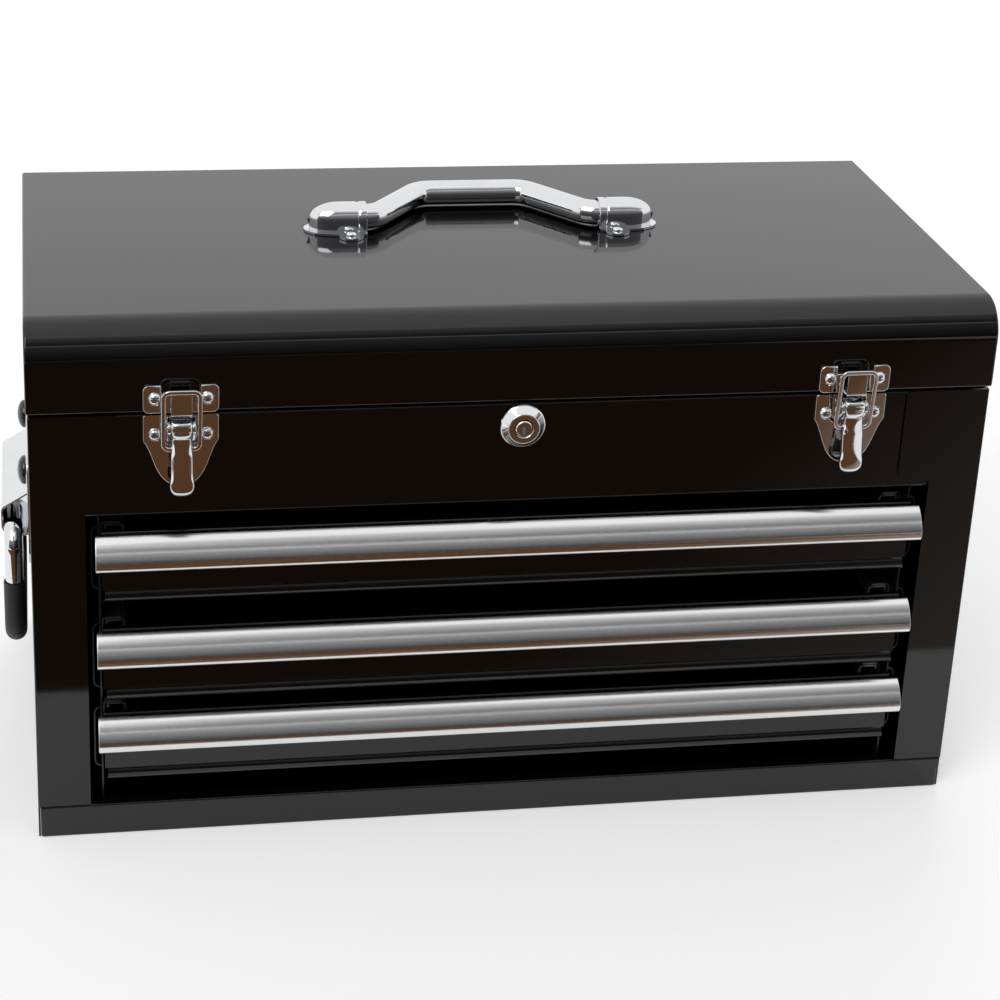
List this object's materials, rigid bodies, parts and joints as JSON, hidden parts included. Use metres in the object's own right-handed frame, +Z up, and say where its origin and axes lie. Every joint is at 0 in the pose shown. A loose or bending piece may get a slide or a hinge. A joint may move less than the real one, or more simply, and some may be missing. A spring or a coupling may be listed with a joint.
{
  "type": "drawer tool box",
  "caption": "Portable tool chest with a lidded top tray, drawers with full-width pulls, draw latches, a lock and folding handles.",
  "frame": {"origin": "underside of the bottom pan, in the middle of the case", "axes": "+X to the right seen from the front, +Y to the back, +Z up; the drawers open along -Y"},
  "size_m": [0.54, 0.2664, 0.3117],
  "materials": {
    "black_paint": "gloss black powder coat",
    "inner_paint": "black paint, less glossy",
    "chrome": "bright chrome plate",
    "pull_metal": "fine brushed, bright",
    "zinc": "zinc plate",
    "vinyl": "black dipped vinyl",
    "black_bolt": "gloss black"
  },
  "bodies": {
    "case": {"case_shell": "black_paint", "header_panel": "black_paint", "compartment_floor": "inner_paint", "bottom_pan": "black_paint", "slide_frame_left": "inner_paint", "slide_frame_right": "inner_paint", "case_slide_top_left": "zinc", "case_slide_top_right": "zinc", "case_slide_middle_left": "zinc", "case_slide_middle_right": "zinc", "case_slide_bottom_left": "zinc", "case_slide_bottom_right": "zinc", "hinge_case_leaf": "black_paint", "hinge_pin": "zinc", "latch_base_left": "chrome", "latch_base_right": "chrome", "latch_pin_left": "chrome", "latch_pin_right": "chrome", "lock_housing": "chrome", "lock_nut": "zinc", "side_handle_bracket_left": "chrome", "side_handle_bracket_right": "chrome", "side_handle_bolt_left_front": "black_bolt", "side_handle_bolt_left_rear": "black_bolt", "side_handle_bolt_right_front": "black_bolt", "side_handle_bolt_right_rear": "black_bolt"},
    "lid": {"lid_shell": "black_paint", "hinge_lid_leaf": "black_paint", "latch_strike_left": "chrome", "latch_strike_right": "chrome", "lock_keeper": "zinc", "top_handle_cap_left": "chrome", "top_handle_cap_right": "chrome", "top_handle_rivet_left_front": "chrome", "top_handle_rivet_left_rear": "chrome", "top_handle_rivet_right_front": "chrome", "top_handle_rivet_right_rear": "chrome"},
    "top_handle": {"top_handle_tube": "chrome"},
    "lock_barrel": {"lock_plug": "chrome", "lock_cam": "zinc"},
    "top_drawer": {"drawer_top": "black_paint", "drawer_pull_top": "pull_metal", "drawer_slide_top_left": "zinc", "drawer_slide_top_right": "zinc"},
    "middle_drawer": {"drawer_middle": "black_paint", "drawer_pull_middle": "pull_metal", "drawer_slide_middle_left": "zinc", "drawer_slide_middle_right": "zinc"},
    "bottom_drawer": {"drawer_bottom": "black_paint", "drawer_pull_bottom": "pull_metal", "drawer_slide_bottom_left": "zinc", "drawer_slide_bottom_right": "zinc"},
    "left_latch_lever": {"latch_lever_left": "chrome"},
    "left_latch_loop": {"latch_loop_left": "chrome"},
    "left_side_handle": {"side_handle_bail_left": "chrome", "side_handle_grip_left": "vinyl"},
    "right_latch_lever": {"latch_lever_right": "chrome"},
    "right_latch_loop": {"latch_loop_right": "chrome"},
    "right_side_handle": {"side_handle_bail_right": "chrome", "side_handle_grip_right": "vinyl"}
  },
  "joints": [
    {"name": "lid_hinge", "type": "hinge", "parent": "case", "child": "lid", "pos_m": [0, 0.12765, 0.24825], "axis": [-1, 0, 0], "range_deg": [0, 100]},
    {"name": "top_handle_fold", "type": "hinge", "parent": "lid", "child": "top_handle", "pos_m": [0, 0.013, 0.303], "axis": [1, 0, 0], "range_deg": [0, 180]},
    {"name": "lock_turn", "type": "hinge", "parent": "case", "child": "lock_barrel", "pos_m": [0, -0.12375, 0.2345], "axis": [0, 1, 0], "range_deg": [0, 90]},
    {"name": "top_drawer_slide", "type": "slide", "parent": "case", "child": "top_drawer", "axis": [0, -1, 0], "range_m": [0, 0.168]},
    {"name": "middle_drawer_slide", "type": "slide", "parent": "case", "child": "middle_drawer", "axis": [0, -1, 0], "range_m": [0, 0.168]},
    {"name": "bottom_drawer_slide", "type": "slide", "parent": "case", "child": "bottom_drawer", "axis": [0, -1, 0], "range_m": [0, 0.168]},
    {"name": "left_latch_lever_turn", "type": "hinge", "parent": "case", "child": "left_latch_lever", "pos_m": [-0.177, -0.12935, 0.2415], "axis": [-1, 0, 0], "range_deg": [0, 135]},
    {"name": "left_latch_loop_turn", "type": "hinge", "parent": "left_latch_lever", "child": "left_latch_loop", "pos_m": [-0.177, -0.12935, 0.23], "axis": [-1, 0, 0], "range_deg": [-135, 0]},
    {"name": "left_side_handle_fold", "type": "hinge", "parent": "case", "child": "left_side_handle", "pos_m": [-0.2635, -0.00975, 0.1525], "axis": [0, 1, 0], "range_deg": [0, 90]},
    {"name": "right_latch_lever_turn", "type": "hinge", "parent": "case", "child": "right_latch_lever", "pos_m": [0.177, -0.12935, 0.2415], "axis": [-1, 0, 0], "range_deg": [0, 135]},
    {"name": "right_latch_loop_turn", "type": "hinge", "parent": "right_latch_lever", "child": "right_latch_loop", "pos_m": [0.177, -0.12935, 0.23], "axis": [-1, 0, 0], "range_deg": [-135, 0]},
    {"name": "right_side_handle_fold", "type": "hinge", "parent": "case", "child": "right_side_handle", "pos_m": [0.2635, -0.00975, 0.1525], "axis": [0, -1, 0], "range_deg": [0, 90]}
  ],
  "couplings": [
    {"joint": "left_latch_loop_turn", "follows": "left_latch_lever_turn", "ratio": -1},
    {"joint": "right_latch_loop_turn", "follows": "right_latch_lever_turn", "ratio": -1}
  ]
}
